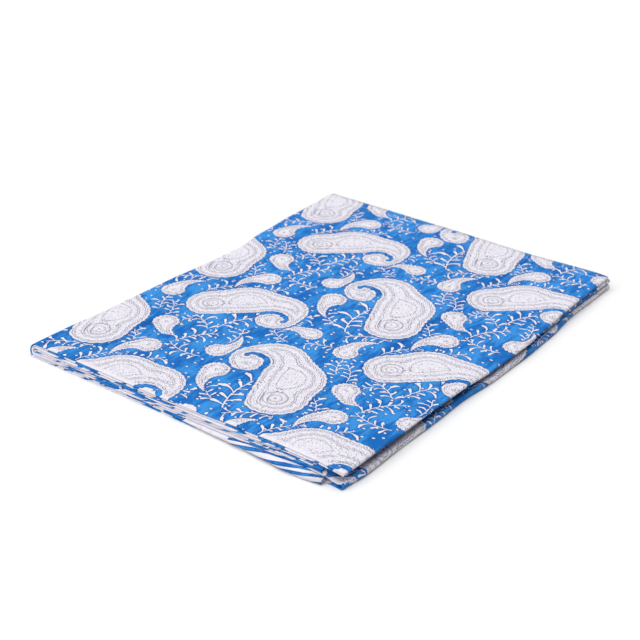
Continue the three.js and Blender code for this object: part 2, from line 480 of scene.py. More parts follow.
def foldedPoint(row, column, rowNumber):
    panel = row["panel"]
    towardsBack = panel % 2 == 0
    plainX = column.get("x", halfLength if column.get("side") == "right" else -halfLength)
    ends = panelEnds(panel, plainX)
    if "y" in row:
        y = {"front": ends[0], "back": ends[1]}.get(row["y"], row["y"])
        level = panelPlan[panel][0]
        plain = layerPitch(plainX, y) - clothCut["layerGap"]
        x, height = acrossStrip(column, layerThickness(level, plainX, y), plain, rowNumber)
        shifted, middle = stripPoint(panel, x, y)
        z = middle + (height if towardsBack else -height)
        if level == clothCut["layers"] and column["ply"] == clothCut["plies"]:
            z += creaseHeight(shifted, y)
        return shifted, y, z
    y = ends[1] if towardsBack else ends[0]
    plain = layerPitch(plainX, y) - clothCut["layerGap"]
    share = row["share"]
    startLevel, endLevel = panelPlan[panel][0], panelPlan[panel + 1][0]
    thick = mixed(layerThickness(startLevel, plainX, y), layerThickness(endLevel, plainX, y), share)
    x, height = acrossStrip(column, thick, plain, rowNumber)
    startX, startZ = stripPoint(panel, x, y)
    endX, endZ = stripPoint(panel + 1, x, y)
    goesUp = endZ > startZ
    angle = (share - 0.5 if goesUp else 0.5 - share) * math.pi
    outY = math.cos(angle) * (1 if towardsBack else -1)
    outZ = math.sin(angle)
    radius = abs(endZ - startZ) / 2 + height * (-1 if goesUp == towardsBack else 1)
    return mixed(startX, endX, share), y + outY * radius, (startZ + endZ) / 2 + outZ * radius


# The panel under the pack is a little longer than the others, and the hidden one above it shorter
def addSlack(rows, clothAlong):
    for panel, start, end in ((3, 0, clothCut["slack"]), (4, clothCut["slack"], 0)):
        numbers = [number for number, row in enumerate(rows) if row["panel"] == panel and "y" in row]
        turning = [number for number, row in enumerate(rows) if row["panel"] == panel and "share" in row]
        for alongColumn in clothAlong:
            first, last = alongColumn[numbers[0]], alongColumn[numbers[-1]]
            for number in numbers:
                alongColumn[number] += mixed(start, end, (alongColumn[number] - first) / (last - first))
            for number in turning:
                alongColumn[number] += end


# The map for baking: a millimetre of cloth that shows is this many times longer in it than a
# hidden one, and the printed faces, the reverse and the cut edge lie beside one another.
bakeRoom = {
    "shown": 4.0,
    "nearFold": 11,
    "least": 0.4,
    "printedShare": 0.9,
    "rimShare": 0.012,
    "rimFill": 0.9,
    "apart": 0.004,
}


def bakePlaces(lengths, shown, room):
    places = [0.0]
    for length, seen in zip(lengths, shown):
        places.append(places[-1] + max(length, bakeRoom["least"]) * (bakeRoom["shown"] if seen else 1))
    return [place / places[-1] * room for place in places]


def addBakeMap(mesh, columns, rows, walked):
    def besideFold(place, key, end):
        at = place.get(key, "fold")
        return isinstance(at, str) or abs(at) > end - bakeRoom["nearFold"]

    topPly, topLevel = clothCut["plies"], clothCut["layers"]
    shownColumns = [place["ply"] == topPly or besideFold(place, "x", halfLength) for place in columns]
    shownRows = [
        panelPlan[place["panel"]][0] == topLevel or besideFold(place, "y", halfDepth) for place in rows
    ]
    wide = [b["cloth"] - a["cloth"] for a, b in zip(columns, columns[1:])]
    long = [abs(b - a) for a, b in zip(walked, walked[1:])]
    across = bakePlaces(wide, shownColumns, bakeRoom["printedShare"] - bakeRoom["apart"])
    along = bakePlaces(long, shownRows, 1 - bakeRoom["rimShare"] - bakeRoom["apart"])
    bakeMap = mesh.uv_layers.new(name="OFBake")
    for loop in mesh.loops:
        j, i = divmod(loop.vertex_index, len(columns))
        bakeMap.data[loop.index].uv = (across[i], along[j])
    mesh.uv_layers.active_index = 0
    mesh.uv_layers[0].active_render = True


# Once the cloth is thick, its reverse and its cut edge get places of their own in the map
def spreadBakeMap(mesh, printedCount):
    bakeMap = mesh.uv_layers["OFBake"].data
    printed = bakeRoom["printedShare"]
    for face in mesh.polygons[printedCount:printedCount * 2]:
        for corner in face.loop_indices:
            across, along = bakeMap[corner].uv
            bakeMap[corner].uv = (mixed(printed, 1, across / printed), along)
    rim = mesh.polygons[printedCount * 2:]
    fill = bakeRoom["rimFill"]
    for number, face in enumerate(rim):
        for corner, (right, up) in zip(face.loop_indices, ((0, 0), (fill, 0), (fill, 1), (0, 1))):
            bakeMap[corner].uv = ((number + right) / len(rim), 1 - bakeRoom["rimShare"] * (1 - up))
    print("map for baking:", printedCount, "printed faces,", len(rim), "faces at the cut edge")


def foldTablecloth():
    columns = clothColumns()
    rows = clothRows()
    across, along = len(columns), len(rows)
    bpy.ops.object.select_all(action="DESELECT")
    bpy.ops.mesh.primitive_grid_add(x_subdivisions=across - 1, y_subdivisions=along - 1, size=1)
    cloth = bpy.context.object
    cloth.name = cloth.data.name = "foldedTablecloth"
    mesh = cloth.data
    shiftX = cadLow.x * 1000 - clothCut["packLowX"]
    shiftY = cadLow.y * 1000 - clothCut["packLowY"]
    places = [
        [foldedPoint(row, column, number) for column in columns] for number, row in enumerate(rows)
    ]
    topColumn = across - 10
    middleRow = min(
        (number for number, row in enumerate(rows) if row["panel"] == 2 and "y" in row),
        key=lambda number: abs(places[number][topColumn][1]),
    )
    clothAlong = []
    for i in range(across):
        walked = [0.0]
        for j in range(1, along):
            walked.append(walked[-1] + math.dist(places[j][i][1:], places[j - 1][i][1:]))
        atMiddle = 2.5 * clothCut["packDepth"] + places[middleRow][i][1]
        clothAlong.append([atMiddle + value - walked[middleRow] for value in walked])
    addSlack(rows, clothAlong)
    hem = cloth.vertex_groups.new(name="hem")
    for vertex in mesh.vertices:
        j, i = divmod(vertex.index, across)
        x, y, z = places[j][i]
        z = max(z, clothCut["hemThickness"] / 2)
        vertex.co = ((x + shiftX) / 1000, (y + shiftY) / 1000, z / 1000)
        cut = columns[i]["cloth"]
        nearHem = j in (0, along - 1) or min(cut, clothCut["width"] - cut) < clothCut["hemWidth"]
        share = 1 if nearHem else clothCut["thickness"] / clothCut["hemThickness"]
        hem.add([vertex.index], share, "REPLACE")
    flatMap = mesh.uv_layers[0]
    flatMap.name = "FlatCloth"
    for loop in mesh.loops:
        j, i = divmod(loop.vertex_index, across)
        flatMap.data[loop.index].uv = (columns[i]["cloth"] / 1000, clothAlong[i][j] / 1000)
    addBakeMap(mesh, columns, rows, clothAlong[across // 2])
    print("folded cloth:", across, "columns,", along, "rows")
    return cloth


print("folding the tablecloth")
tablecloth = foldTablecloth()


def thickenCloth(cloth):
    solidify = cloth.modifiers.new("clothThickness", "SOLIDIFY")
    solidify.thickness = clothCut["hemThickness"] / 1000
    solidify.offset = 0
    solidify.vertex_group = "hem"
    solidify.material_offset = 1
    solidify.use_quality_normals = True
    bpy.ops.object.select_all(action="DESELECT")
    cloth.select_set(True)
    bpy.context.view_layer.objects.active = cloth
    printedCount = len(cloth.data.polygons)
    bpy.ops.object.modifier_apply(modifier=solidify.name)
    bpy.ops.object.shade_smooth()
    spreadBakeMap(cloth.data, printedCount)


# The block print. Its repeat and the places of its motifs are in millimetres from the corner of
# the pack that is nearest in the photo: centre x, y, turn in degrees, mirrored or not, size.
# An edge is a pair of numbers, where it starts to fade and where it has faded out.
blockPrint = {
    "repeat": (145.5, 169.5, 1000),
    "startsAt": (1140, 570, 0),
    "largePaisleys": [(69, 112.5, 0, 1, 1.02), (144, 194.5, -26, -1, 0.94)],
    "smallPaisleys": [
        (51, 214, 116, -1, 1.1), (88, 229.5, 202, -1, 1.12), (77, 169, -42, -1, 0.98),
        (54, 151, 164, -1, 1.12), (141, 130, 73, -1, 0.95), (133, 92.5, 19, 1, 1.04),
    ],
    "sprigs": [
        (38, 120, 5, 1, 1.2), (20, 92, 115, -1, 0.95), (112, 85, 22, 1, 0.75),
        (84, 197, -32, 1, 0.9), (107, 208, 62, -1, 0.85), (122, 188, -26, 1, 1.0),
        (60, 190, 84, 1, 0.8), (33, 203, -58, -1, 0.85), (27, 138, 48, 1, 0.8),
        (132, 112, 105, -1, 0.7), (8, 151, -8, 1, 0.8), (112, 243, 38, -1, 0.75),
        (18, 63, -38, 1, 0.85), (104, 170, 12, -1, 0.8), (52, 60, 30, -1, 0.8),
        (98, 222, 140, 1, 0.7), (124, 150, 60, 1, 0.7),
    ],
    "smallGap": 1.9,
    "leafGap": 1.7,
    "seedSpacing": 10,
    "seedSize": 0.88,
    "seedStretch": (1.25, 0.8, 0),
    "seedScatter": 0.8,
    "borderDepth": 90,
    "borderPitch": 4.3,
    "borderSlant": 0.19,
    "bladeHalfWidth": (0.5, 1.05),
    "bladeWave": 11.0,
    "bladeShift": 1.9,
    "wanderScale": 0.35,
    "edgeWander": 1.0,
    "whiteEdge": (-0.12, 0.22),
    "rimAt": 0.3,
    "rimEdge": (0.1, 0.55),
    "rimStrength": 0.8,
    "joinAt": 69.0,
    "joinWander": 9.0,
    "joinEdge": (0.5, 4.0),
    "joinStrength": 0.55,
    "groundBlue": (0.003, 0.12, 0.435),
    "lightBlue": (0.035, 0.255, 0.65),
    "deepBlue": (0.002, 0.042, 0.22),
    "printWhite": (0.72, 0.70, 0.77),
    "lineGrey": (0.03, 0.026, 0.07),
}


def feed(tree, socket, value):
    if isinstance(value, bpy.types.NodeSocket):
        tree.links.new(value, socket)
    else:
        socket.default_value = value


def feedNode(tree, node, values):
    for label, value in values.items():
        feed(tree, node.inputs[label], value)


def number(tree, operation, *values):
    node = tree.nodes.new("ShaderNodeMath")
    node.operation = operation
    for socket, value in zip(node.inputs, values):
        feed(tree, socket, value)
    return node.outputs[0]


def times(tree, a, b):
    return number(tree, "MULTIPLY", a, b)


def timesPlus(tree, a, b, c):
    return number(tree, "MULTIPLY_ADD", a, b, c)


def minus(tree, a, b):
    return number(tree, "SUBTRACT", a, b)


def larger(tree, a, b):
    return number(tree, "MAXIMUM", a, b)


def smaller(tree, a, b):
    return number(tree, "MINIMUM", a, b)


def vector(tree, operation, *values):
    node = tree.nodes.new("ShaderNodeVectorMath")
    node.operation = operation
    for socket, value in zip(node.inputs, values):
        feed(tree, socket, value)
    return node.outputs["Value" if operation in ("LENGTH", "DISTANCE", "DOT_PRODUCT") else "Vector"]


def offset(tree, value, middle):
    return number(tree, "ABSOLUTE", minus(tree, value, middle))


def stepDown(tree, value, start, end):
    node = tree.nodes.new("ShaderNodeMapRange")
    node.interpolation_type = "SMOOTHSTEP"
    limits = {"From Min": start, "From Max": end, "To Min": 1.0, "To Max": 0.0}
    feedNode(tree, node, {"Value": value, **limits})
    return node.outputs[0]


def mixColour(tree, share, first, second, blend="MIX"):
    node = tree.nodes.new("ShaderNodeMix")
    node.data_type = "RGBA"
    node.blend_type = blend
    feed(tree, node.inputs[0], share)
    for place, colour in ((6, first), (7, second)):
        plain = not isinstance(colour, bpy.types.NodeSocket)
        feed(tree, node.inputs[place], (*colour, 1) if plain else colour)
    return node.outputs[2]


def split(tree, point):
    node = tree.nodes.new("ShaderNodeSeparateXYZ")
    feed(tree, node.inputs[0], point)
    return node.outputs[0], node.outputs[1]


def noise(tree, point, scale, detail=2.0, roughness=0.5):
    node = tree.nodes.new("ShaderNodeTexNoise")
    node.noise_dimensions = "2D"
    settings = {"Scale": scale, "Detail": detail, "Roughness": roughness}
    feedNode(tree, node, {"Vector": point, **settings})
    return node.outputs[0], node.outputs[1]


def cells(tree, point, scale, feature="F1", scatter=1.0):
    node = tree.nodes.new("ShaderNodeTexVoronoi")
    node.voronoi_dimensions = "2D"
    node.feature = feature
    feedNode(tree, node, {"Vector": point, "Scale": scale, "Randomness": scatter})
    return node.outputs["Distance"]


def newGroup(name, inputs, outputs):
    kinds = {"vector": "NodeSocketVector", "number": "NodeSocketFloat"}
    tree = bpy.data.node_groups.new(name, "ShaderNodeTree")
    for label, kind, *start in inputs:
        socket = tree.interface.new_socket(label, in_out="INPUT", socket_type=kinds[kind])
        if start:
            socket.default_value = start[0]
    for label, kind in outputs:
        tree.interface.new_socket(label, in_out="OUTPUT", socket_type=kinds[kind])
    return tree, tree.nodes.new("NodeGroupInput").outputs, tree.nodes.new("NodeGroupOutput").inputs


def placeGroup(tree, name, **values):
    node = tree.nodes.new("ShaderNodeGroup")
    node.node_tree = bpy.data.node_groups[name]
    feedNode(tree, node, values)
    return node.outputs


# Keeps the nearer of two motifs: the one found so far, and one at this place of every repeat
def makeMotifPlace():
    tree, given, result = newGroup(
        "motifPlace",
        [("Point", "vector"), ("BestPoint", "vector"), ("BestDistance", "number", 1000.0),
         ("Centre", "vector"), ("Turn", "number"), ("Scale", "vector")],
        [("BestPoint", "vector"), ("BestDistance", "number")],
    )
    away = vector(tree, "SUBTRACT", given["Point"], given["Centre"])
    half = tuple(value / 2 for value in blockPrint["repeat"])
    wrapped = vector(tree, "WRAP", away, half, tuple(-value for value in half))
    turned = tree.nodes.new("ShaderNodeVectorRotate")
    turned.rotation_type = "Z_AXIS"
    feedNode(tree, turned, {"Vector": wrapped, "Angle": given["Turn"]})
    local = vector(tree, "MULTIPLY", turned.outputs[0], given["Scale"])
    distance = vector(tree, "LENGTH", local)
    nearer = number(tree, "LESS_THAN", distance, given["BestDistance"])
    chosen = tree.nodes.new("ShaderNodeMix")
    chosen.data_type = "VECTOR"
    for place, value in ((0, nearer), (4, given["BestPoint"]), (5, local)):
        feed(tree, chosen.inputs[place], value)
    feed(tree, result["BestPoint"], chosen.outputs[1])
    feed(tree, result["BestDistance"], smaller(tree, distance, given["BestDistance"]))


def nearestMotif(tree, point, slots):
    found = {"BestPoint": (1000, 1000, 0), "BestDistance": 1000.0}
    for x, y, turn, mirror, size in slots:
        outputs = placeGroup(
            tree, "motifPlace", Point=point, Centre=(x, y, 0), Turn=-math.radians(turn),
            Scale=(1 / size, mirror / size, 0), **found,
        )
        found = {label: outputs[label] for label in found}
    return found["BestPoint"]


def circle(tree, point, x, y, radius):
    return minus(tree, vector(tree, "DISTANCE", point, (x, y, 0)), radius)


# A large paisley: a round body and a lobe that curls back over a slit to a round tip.
# Distances are in millimetres, negative inside, and a circle is centre x, y and radius.
# A shoulder's fourth number is how widely it melts in. A pair of numbers is the slope and the
# start of a measure that changes along the form, here and below.
largeForm = {
    "body": (-22, -21, 22.5),
    "lobe": (5, -9, 29),
    "lobeBlend": 18.0,
    "shoulders": [(22, 14, 25, 18.0), (14, 24, 20, 8.0)],
    "neckLine": (-0.36, 0.93, 0),
    "neckAt": 8.0,
    "openingSide": 8.0,
    "openingTop": 27.0,
    "openingBlend": 5.0,
    "tip": (7, 27, 12),
    "tipBlend": 1.0,
    "slitCentre": (8, 27, 0),
    "slitRadius": 13.4,
    "slitHalfWidth": (-0.25, 2.2),
    "slitTurn": 0.83,
    "slitHalfTurn": 0.95,
    "slitRound": 13.0,
    "hookCentre": (15.5, 28.6, 0),
    "hookRadius": 5.9,
    "hookHalfWidth": 2.0,
    "hookStart": (-0.3, 25.3),
    "hookEnd": (14.9, 34.3, 2.0),
    "middle": (4, 0, 0),
    "scallops": 23.0,
    "scallopDepth": 0.8,
    "inset": 0.5,
    "eyeLobe": 15.0,
    "eyeBlend": 10.0,
}


def makeLargePaisley():
    plan = largeForm
    tree, given, result = newGroup(
        "largePaisley", [("Point", "vector")], [("Distance", "number"), ("Eye", "number")]
    )
    point = given["Point"]
    body = circle(tree, point, *plan["body"])
    lobe = circle(tree, point, *plan["lobe"])
    outer = number(tree, "SMOOTH_MIN", body, lobe, plan["lobeBlend"])
    for x, y, radius, blend in plan["shoulders"]:
        outer = number(tree, "SMOOTH_MIN", outer, circle(tree, point, x, y, radius), blend)
    x, y = split(tree, point)
    neck = vector(tree, "DOT_PRODUCT", point, plan["neckLine"])
    opening = minus(tree, plan["neckAt"], neck)
    for value, limit in ((x, plan["openingSide"]), (y, plan["openingTop"])):
        opening = larger(tree, opening, minus(tree, value, limit))
    opening = times(tree, opening, -1.0)
    outer = number(tree, "SMOOTH_MAX", outer, opening, plan["openingBlend"])
    outer = number(tree, "SMOOTH_MIN", outer, circle(tree, point, *plan["tip"]), plan["tipBlend"])

    # The slit between tip and neck, and the hook that it ends in
    fromCurl = vector(tree, "SUBTRACT", point, plan["slitCentre"])
    curlX, curlY = split(tree, fromCurl)
    angle = number(tree, "ARCTAN2", curlY, curlX)
    ring = offset(tree, vector(tree, "LENGTH", fromCurl), plan["slitRadius"])
    ring = minus(tree, ring, timesPlus(tree, angle, *plan["slitHalfWidth"]))
    turnEnd = number(tree, "ABSOLUTE", number(tree, "ADD", angle, plan["slitTurn"]))
    turnEnd = minus(tree, turnEnd, plan["slitHalfTurn"])
    slit = larger(tree, ring, times(tree, turnEnd, plan["slitRound"]))
    fromHook = vector(tree, "SUBTRACT", point, plan["hookCentre"])
    hook = offset(tree, vector(tree, "LENGTH", fromHook), plan["hookRadius"])
    hook = minus(tree, hook, plan["hookHalfWidth"])
    hook = larger(tree, hook, minus(tree, timesPlus(tree, y, *plan["hookStart"]), x))
    hook = smaller(tree, hook, circle(tree, point, *plan["hookEnd"]))
    slit = smaller(tree, slit, hook)
    cut = larger(tree, outer, times(tree, slit, -1.0))

    # A scalloped edge, and the eye, which the rings follow
    x, y = split(tree, vector(tree, "SUBTRACT", point, plan["middle"]))
    around = times(tree, number(tree, "ARCTAN2", y, x), plan["scallops"])
    scallop = number(tree, "ABSOLUTE", number(tree, "SINE", around))
    cut = timesPlus(tree, scallop, -plan["scallopDepth"], cut)
    feed(tree, result["Distance"], number(tree, "ADD", cut, plan["inset"]))
    eyeLobe = number(tree, "ADD", lobe, plan["eyeLobe"])
    feed(tree, result["Eye"], number(tree, "SMOOTH_MIN", body, eyeLobe, plan["eyeBlend"]))


# A small paisley: a round body and a tapering tail along an arc, with a toothed edge
smallForm = {
    "radius": 9.2,
    "bend": 22.0,
    "tailHalfWidth": (-5.4, 8.0),
    "tailTurn": 1.4,
    "blend": 3.0,
    "teeth": 62.0,
    "crossTeeth": 2.8,
    "toothDepth": 0.3,
}


def makeSmallPaisley():
    plan = smallForm
    tree, given, result = newGroup("smallPaisley", [("Point", "vector")], [("Distance", "number")])
    point = given["Point"]
    bend = plan["bend"]
    body = circle(tree, point, 0, 0, plan["radius"])
    fromBend = vector(tree, "SUBTRACT", point, (0, -bend, 0))
    x, y = split(tree, fromBend)
    angle = number(tree, "ARCTAN2", x, y)
    band = offset(tree, vector(tree, "LENGTH", fromBend), bend)
    band = minus(tree, band, timesPlus(tree, angle, *plan["tailHalfWidth"]))
    before = times(tree, angle, -bend)
    after = timesPlus(tree, angle, bend, -bend * plan["tailTurn"])
    tail = larger(tree, band, larger(tree, before, after))
    whole = number(tree, "SMOOTH_MIN", body, tail, plan["blend"])
    teeth = number(tree, "SINE", times(tree, angle, plan["teeth"]))
    cross = times(tree, split(tree, point)[1], plan["crossTeeth"])
    teeth = number(tree, "ADD", teeth, number(tree, "SINE", cross))
    feed(tree, result["Distance"], timesPlus(tree, teeth, plan["toothDepth"], whole))


# A sprig: an arched stem with slanting leaves on both sides, which end in small buds
sprigForm = {
    "bend": 46.0,
    "halfLength": 21.0,
    "stemHalfWidth": 0.37,
    "leafSlant": -1.05,
    "leafArch": 0.062,
    "leafHalfPitch": 3.9,
    "sideShift": 2.1,
    "reachWave": (2.1, 1.3),
    "reach": (4.2, 9.2),
    "budAt": 0.72,
    "budSharpness": 0.3,
    "leafHalfWidth": (0.5, 0.28),
    "leafSteepness": 0.72,
    "lastLeaf": 20.0,
}


def makeSprig():
    plan = sprigForm
    tree, given, result = newGroup(
        "leafySprig", [("Point", "vector"), ("Wander", "number")], [("Distance", "number")]
    )
    fromBend = vector(tree, "SUBTRACT", given["Point"], (0, -plan["bend"], 0))
    x, y = split(tree, fromBend)
    along = times(tree, number(tree, "ARCTAN2", x, y), plan["bend"])
    across = minus(tree, vector(tree, "LENGTH", fromBend), plan["bend"])
    across = number(tree, "ADD", given["Wander"], across)
    side = number(tree, "SIGN", across)
    out = number(tree, "ABSOLUTE", across)
    past = minus(tree, number(tree, "ABSOLUTE", along), plan["halfLength"])
    stem = larger(tree, minus(tree, out, plan["stemHalfWidth"]), past)
    slanted = timesPlus(tree, out, plan["leafSlant"], along)
    outSquare = number(tree, "POWER", out, 2.0)
    slanted = timesPlus(tree, outSquare, plan["leafArch"], slanted)
    slanted = timesPlus(tree, side, plan["sideShift"], slanted)
    inCell = number(tree, "WRAP", slanted, plan["leafHalfPitch"], -plan["leafHalfPitch"])
    cell = minus(tree, slanted, inCell)
    reach = number(tree, "SINE", timesPlus(tree, cell, *plan["reachWave"]))
    reach = timesPlus(tree, reach, *plan["reach"])
    bud = minus(tree, out, times(tree, reach, plan["budAt"]))
    bud = number(tree, "POWER", times(tree, bud, plan["budSharpness"]), 2.0)
    bud = number(tree, "EXPONENT", times(tree, bud, -1.0))
    width = timesPlus(tree, bud, *plan["leafHalfWidth"])
    leaf = times(tree, number(tree, "ABSOLUTE", inCell), plan["leafSteepness"])
    leaf = minus(tree, leaf, width)
    leaf = larger(tree, leaf, minus(tree, out, reach))
    farCell = minus(tree, number(tree, "ABSOLUTE", cell), plan["lastLeaf"])
    leaf = larger(tree, leaf, farCell)
    feed(tree, result["Distance"], smaller(tree, stem, leaf))


# Paisleys, sprigs and seeds as distances, with the paisleys alone and the large ones' eyes
def whiteForms(tree, start):
    plan = blockPrint
    wander = vector(tree, "SUBTRACT", noise(tree, start, plan["wanderScale"])[1], (0.5, 0.5, 0.5))
    point = vector(tree, "MULTIPLY_ADD", wander, (plan["edgeWander"],) * 3, start)
    point = vector(tree, "MULTIPLY", point, (1, 1, 0))
    wanderX = split(tree, wander)[0]
    large = placeGroup(tree, "largePaisley", Point=nearestMotif(tree, point, plan["largePaisleys"]))
    small = placeGroup(tree, "smallPaisley", Point=nearestMotif(tree, point, plan["smallPaisleys"]))
    nearest = nearestMotif(tree, point, plan["sprigs"])
    sprig = placeGroup(tree, "leafySprig", Point=nearest, Wander=wanderX)
    apart = minus(tree, plan["smallGap"], large["Distance"])
    apart = larger(tree, small["Distance"], apart)
    paisleys = smaller(tree, large["Distance"], apart)
    stretched = vector(tree, "MULTIPLY", point, plan["seedStretch"])
    seed = cells(tree, stretched, 1 / plan["seedSpacing"], scatter=plan["seedScatter"])
    seed = times(tree, seed, plan["seedSpacing"])
    seed = minus(tree, seed, plan["seedSize"])
    thin = smaller(tree, sprig["Distance"], seed)
    thin = larger(tree, thin, minus(tree, plan["leafGap"], paisleys))
    return paisleys, smaller(tree, paisleys, thin), large["Eye"], wanderX


# Long slender leaves in a border along the first hem, and a mask of the border
def borderBlades(tree, x, y):
    plan = blockPrint
    slanting = timesPlus(tree, y, plan["borderSlant"], x)
    inLeaf = number(tree, "WRAP", slanting, plan["borderPitch"] / 2, -plan["borderPitch"] / 2)
    leafNumber = minus(tree, slanting, inLeaf)
    swell = number(tree, "DIVIDE", y, plan["bladeWave"])
    swell = number(tree, "SINE", timesPlus(tree, leafNumber, plan["bladeShift"], swell))
    halfWidth = timesPlus(tree, swell, *plan["bladeHalfWidth"])
    blade = minus(tree, number(tree, "ABSOLUTE", inLeaf), halfWidth)
    return blade, number(tree, "LESS_THAN", y, plan["borderDepth"])


# Fine lines in the paisleys: lines at these depths and strengths, rings round the eye, dots and
# short dashes in rows, all of them broken here and there, and paler on the left fold as painted light
# that brightens the side
lineWork = {
    "contours": [(0.2, 0.4), (2.2, 1.0), (3.7, 0.9), (8.4, 0.95), (9.8, 0.9), (14.5, 0.9)],
    "contourHalfWidth": 0.34,
    "contourStrength": 1.6,
    "deepest": 26,
    "ringWave": 1.5,
    "ringEdge": (-0.95, -0.55),
    "ringDepth": (-13.0, -11.5),
    "ringStrength": 0.6,
    "dotScale": 0.5,
    "dotEdge": (0.26, 0.36),
    "dotPatches": (0.58, 0.5),
    "rowWave": 1.55,
    "rowEdge": (0.5, -0.3),
    "rowShare": 0.75,
    "dashScale": 0.42,
    "dashEdge": (0.06, 0.12),
    "dashPatches": (0.6, 0.52),
    "dashStrength": 0.9,
    "brokenEdge": (0.56, 0.42),
    "brokenShare": (0.4, 0.55),
    "outlineEdge": (0.0, 0.3),
    "foldEdge": (2.5, 4.5),
    "foldPaintedLight": 0.8,
}


def contourLines(tree, paisleys):
    plan = lineWork
    contour = tree.nodes.new("ShaderNodeValToRGB")
    ramp = contour.color_ramp.elements
    ramp.remove(ramp[-1])
    for depth, strength in plan["contours"]:
        before, after = depth - plan["contourHalfWidth"], depth + plan["contourHalfWidth"]
        for at, tone in ((before, 0), (depth, strength), (after, 0)):
            element = ramp.new(max(0.0, at / plan["deepest"]))
            element.color = (tone, tone, tone, 1)
    feed(tree, contour.inputs[0], times(tree, paisleys, -1 / plan["deepest"]))
    return times(tree, contour.outputs[0], plan["contourStrength"])


def fineLines(tree, start, paisleys, eye):
    plan = lineWork
    rings = number(tree, "SINE", times(tree, eye, plan["ringWave"]))
    rings = stepDown(tree, rings, *plan["ringEdge"])
    rings = times(tree, rings, stepDown(tree, eye, *plan["ringDepth"]))
    dots = stepDown(tree, cells(tree, start, plan["dotScale"]), *plan["dotEdge"])
    patches = stepDown(tree, noise(tree, start, 0.9)[0], *plan["dotPatches"])
    rows = number(tree, "SINE", times(tree, paisleys, plan["rowWave"]))
    rows = stepDown(tree, rows, *plan["rowEdge"])
    rows = timesPlus(tree, rows, plan["rowShare"], 1 - plan["rowShare"])
    dots = times(tree, times(tree, dots, patches), rows)
    dashes = cells(tree, start, plan["dashScale"], "DISTANCE_TO_EDGE")
    dashes = stepDown(tree, dashes, *plan["dashEdge"])
    patches = stepDown(tree, noise(tree, start, 0.8, 1.0)[0], *plan["dashPatches"])
    dashes = times(tree, dashes, patches)
    dots = larger(tree, dots, times(tree, dashes, plan["dashStrength"]))
    line = smaller(tree, contourLines(tree, paisleys), 1.0)
    line = larger(tree, line, times(tree, rings, plan["ringStrength"]))
    broken = stepDown(tree, noise(tree, start, 1.3, 3.0, 0.65)[0], *plan["brokenEdge"])
    line = times(tree, line, timesPlus(tree, broken, *plan["brokenShare"]))
    line = larger(tree, line, times(tree, dots, broken))
    line = times(tree, line, stepDown(tree, paisleys, *plan["outlineEdge"]))
    # Painted light: the fine lines fade out along the left fold so that the side of the pack looks
    # brighter
    paintedLightOnFold = number(tree, "ABSOLUTE", split(tree, start)[0])
    paintedLightOnFold = stepDown(tree, paintedLightOnFold, *plan["foldEdge"])
    return times(tree, line, timesPlus(tree, paintedLightOnFold, -plan["foldPaintedLight"], 1.0))


# The dusky rim of the resist and the darker join between two rows of the block
def darkSeams(tree, start, whole, wander):
    plan = blockPrint
    rim = stepDown(tree, offset(tree, whole, plan["rimAt"]), *plan["rimEdge"])
    rim = times(tree, rim, plan["rimStrength"])
    halfRepeat = plan["repeat"][1] / 2
    join = minus(tree, split(tree, start)[1], plan["joinAt"])
    join = number(tree, "WRAP", join, halfRepeat, -halfRepeat)
    join = number(tree, "ABSOLUTE", timesPlus(tree, wander, plan["joinWander"], join))
    join = times(tree, stepDown(tree, join, *plan["joinEdge"]), plan["joinStrength"])
    return larger(tree, rim, join)


# The whole print: what is left white, what is drawn in fine lines and what lies in between
def makeBlockPrint():
    tree, given, result = newGroup(
        "paisleyPrint",
        [("Point", "vector")],
        [("White", "number"), ("Line", "number"), ("Seam", "number")],
    )
    start = vector(tree, "SUBTRACT", given["Point"], blockPrint["startsAt"])
    paisleys, whole, eye, wander = whiteForms(tree, start)
    blade, inBorder = borderBlades(tree, *split(tree, given["Point"]))
    blade = times(tree, blade, inBorder)
    whole = times(tree, whole, minus(tree, 1.0, inBorder))
    whole = number(tree, "ADD", blade, whole)
    outside = 60.0
    paisleys = timesPlus(tree, inBorder, outside, paisleys)
    feed(tree, result["White"], stepDown(tree, whole, *blockPrint["whiteEdge"]))
    feed(tree, result["Line"], fineLines(tree, start, paisleys, eye))
    feed(tree, result["Seam"], darkSeams(tree, start, whole, wander))


# Plain weave: warp and weft threads as a height, and their uneven thickness as a tone
def makeWeave():
    tree, given, result = newGroup(
        "plainWeave",
        [("Point", "vector"), ("Spacing", "number", 0.36)],
        [("Height", "number"), ("Tone", "number")],
    )
    scaled = number(tree, "DIVIDE", math.pi, given["Spacing"])
    warp, weft = (
        number(tree, "SINE", times(tree, way, scaled)) for way in split(tree, given["Point"])
    )
    height = times(tree, warp, weft)
    slubs = [
        noise(tree, vector(tree, "MULTIPLY", given["Point"], stretch), 1.0)[0]
        for stretch in ((0.12, 2.6, 0), (2.6, 0.12, 0))
    ]
    slub = number(tree, "ADD", *slubs)
    feed(tree, result["Height"], timesPlus(tree, height, 0.35, slub))
    feed(tree, result["Tone"], timesPlus(tree, slub, 0.5, 0.5))


# The hems' stitches, as short dashes along the inner edge of the turned cloth
stitchPlan = {"fromEdge": 2.0, "halfPitch": 1.4, "halfLength": 0.9, "halfWidth": 0.25}


def makeStitches():
    plan = stitchPlan
    tree, given, result = newGroup("hemStitches", [("Point", "vector")], [("Stitch", "number")])
    x, y = split(tree, given["Point"])
    dashes = []
    for across, along, far in ((x, y, clothCut["width"]), (y, x, clothCut["length"])):
        near = smaller(tree, across, minus(tree, float(far), across))
        away = offset(tree, near, clothCut["hemWidth"] - plan["fromEdge"])
        away = minus(tree, away, plan["halfWidth"])
        inDash = number(tree, "WRAP", along, plan["halfPitch"], -plan["halfPitch"])
        inDash = minus(tree, number(tree, "ABSOLUTE", inDash), plan["halfLength"])
        dashes.append(larger(tree, away, inDash))
    feed(tree, result["Stitch"], stepDown(tree, smaller(tree, *dashes), -0.1, 0.1))


